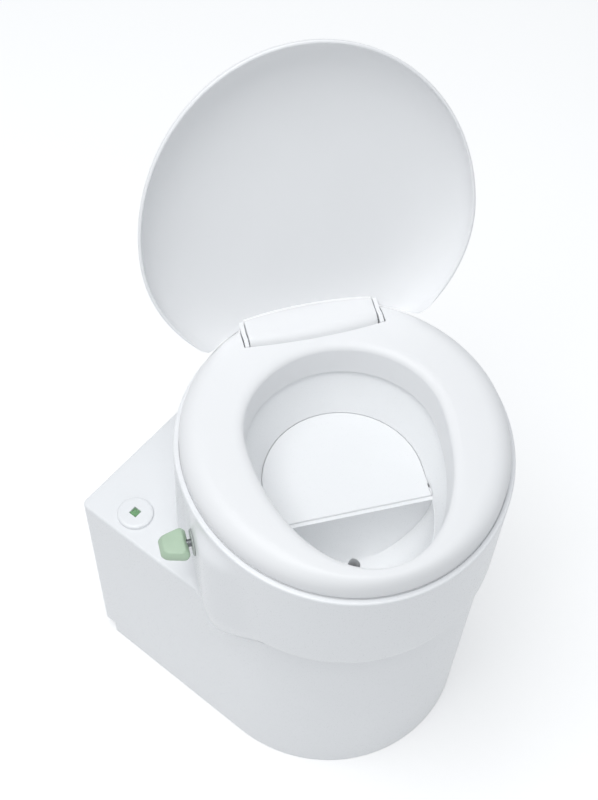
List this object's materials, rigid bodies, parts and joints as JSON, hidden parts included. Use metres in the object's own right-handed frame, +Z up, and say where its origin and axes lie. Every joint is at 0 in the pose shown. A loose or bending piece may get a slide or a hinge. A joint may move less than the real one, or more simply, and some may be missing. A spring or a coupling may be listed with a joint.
{
  "type": "separating toilet",
  "caption": "Floor-standing separating toilet: turned bowl with seat and open lid, a knob-worked flap over the solids chute, a urine bowl in front and a level window on the shelf",
  "frame": {"origin": "on the floor, under the bowl's upright axis", "axes": "+Y towards the wall, square to the housing's flat back, +X to the right seen from the front, +Z up. The bowl, seat and lid are turned 37 degrees clockwise about Z, seen from above"},
  "size_m": [0.4283, 0.4396, 0.7791],
  "materials": {
    "shell": "moulded white plastic, satin gloss",
    "seat": "moulded white plastic, glossy",
    "bowl": "moulded white plastic, glossy, a little cooler",
    "trim": "moulded off-white plastic",
    "knob": "sage green plastic with a fine grain",
    "flag": "bright green plastic",
    "lens": "clear plastic",
    "dark": "dark grey plastic",
    "rubber": "soft grey rubber",
    "hose": "grey flexible pipe",
    "tank": "milky blown plastic",
    "bin": "grey plastic",
    "steel": "plain round steel"
  },
  "bodies": {
    "base": {"base_pan": "trim", "solids_bin": "bin", "urine_tank": "tank", "tank_inlet": "trim", "indicator_collar": "trim"},
    "indicator": {"indicator_stem": "flag", "indicator_float": "tank"},
    "cover": {"housing": "shell", "dial_cap": "shell", "dial_lens": "lens", "vent_outlet": "shell", "bowl": "bowl", "drain_pipe": "hose", "escutcheon": "dark", "flap_bush_right": "trim", "flap_bush_left": "trim", "seat_bracket_right": "trim", "seat_bracket_left": "trim", "seat_pin_right": "steel", "seat_pin_left": "steel"},
    "flap": {"flap": "bowl", "flap_shaft": "steel", "knob": "knob"},
    "seat": {"seat_ring": "seat", "hinge_bar": "seat", "seat_buffer_1": "rubber", "seat_buffer_2": "rubber", "seat_buffer_3": "rubber", "seat_buffer_4": "rubber", "lid_pin_right": "steel", "lid_pin_left": "steel"},
    "lid": {"lid": "seat"}
  },
  "joints": [
    {"name": "cover_lift", "type": "slide", "parent": "base", "child": "cover", "axis": [0, 0, 1], "range_m": [0, 0.32]},
    {"name": "flap_turn", "type": "hinge", "parent": "cover", "child": "flap", "pos_m": [-0.02829, -0.03754, 0.404], "axis": [-0.7986, 0.6018, 0], "range_deg": [0, 85]},
    {"name": "seat_hinge", "type": "hinge", "parent": "cover", "child": "seat", "pos_m": [0.09448, 0.12539, 0.472], "axis": [-0.7986, 0.6018, 0], "range_deg": [0, 80]},
    {"name": "lid_hinge", "type": "hinge", "parent": "seat", "child": "lid", "pos_m": [0.07342, 0.09743, 0.4885], "axis": [-0.7986, 0.6018, 0], "range_deg": [-110, 0]},
    {"name": "indicator_rise", "type": "slide", "parent": "base", "child": "indicator", "axis": [0, 0, 1], "range_m": [0, 0.008]}
  ]
}
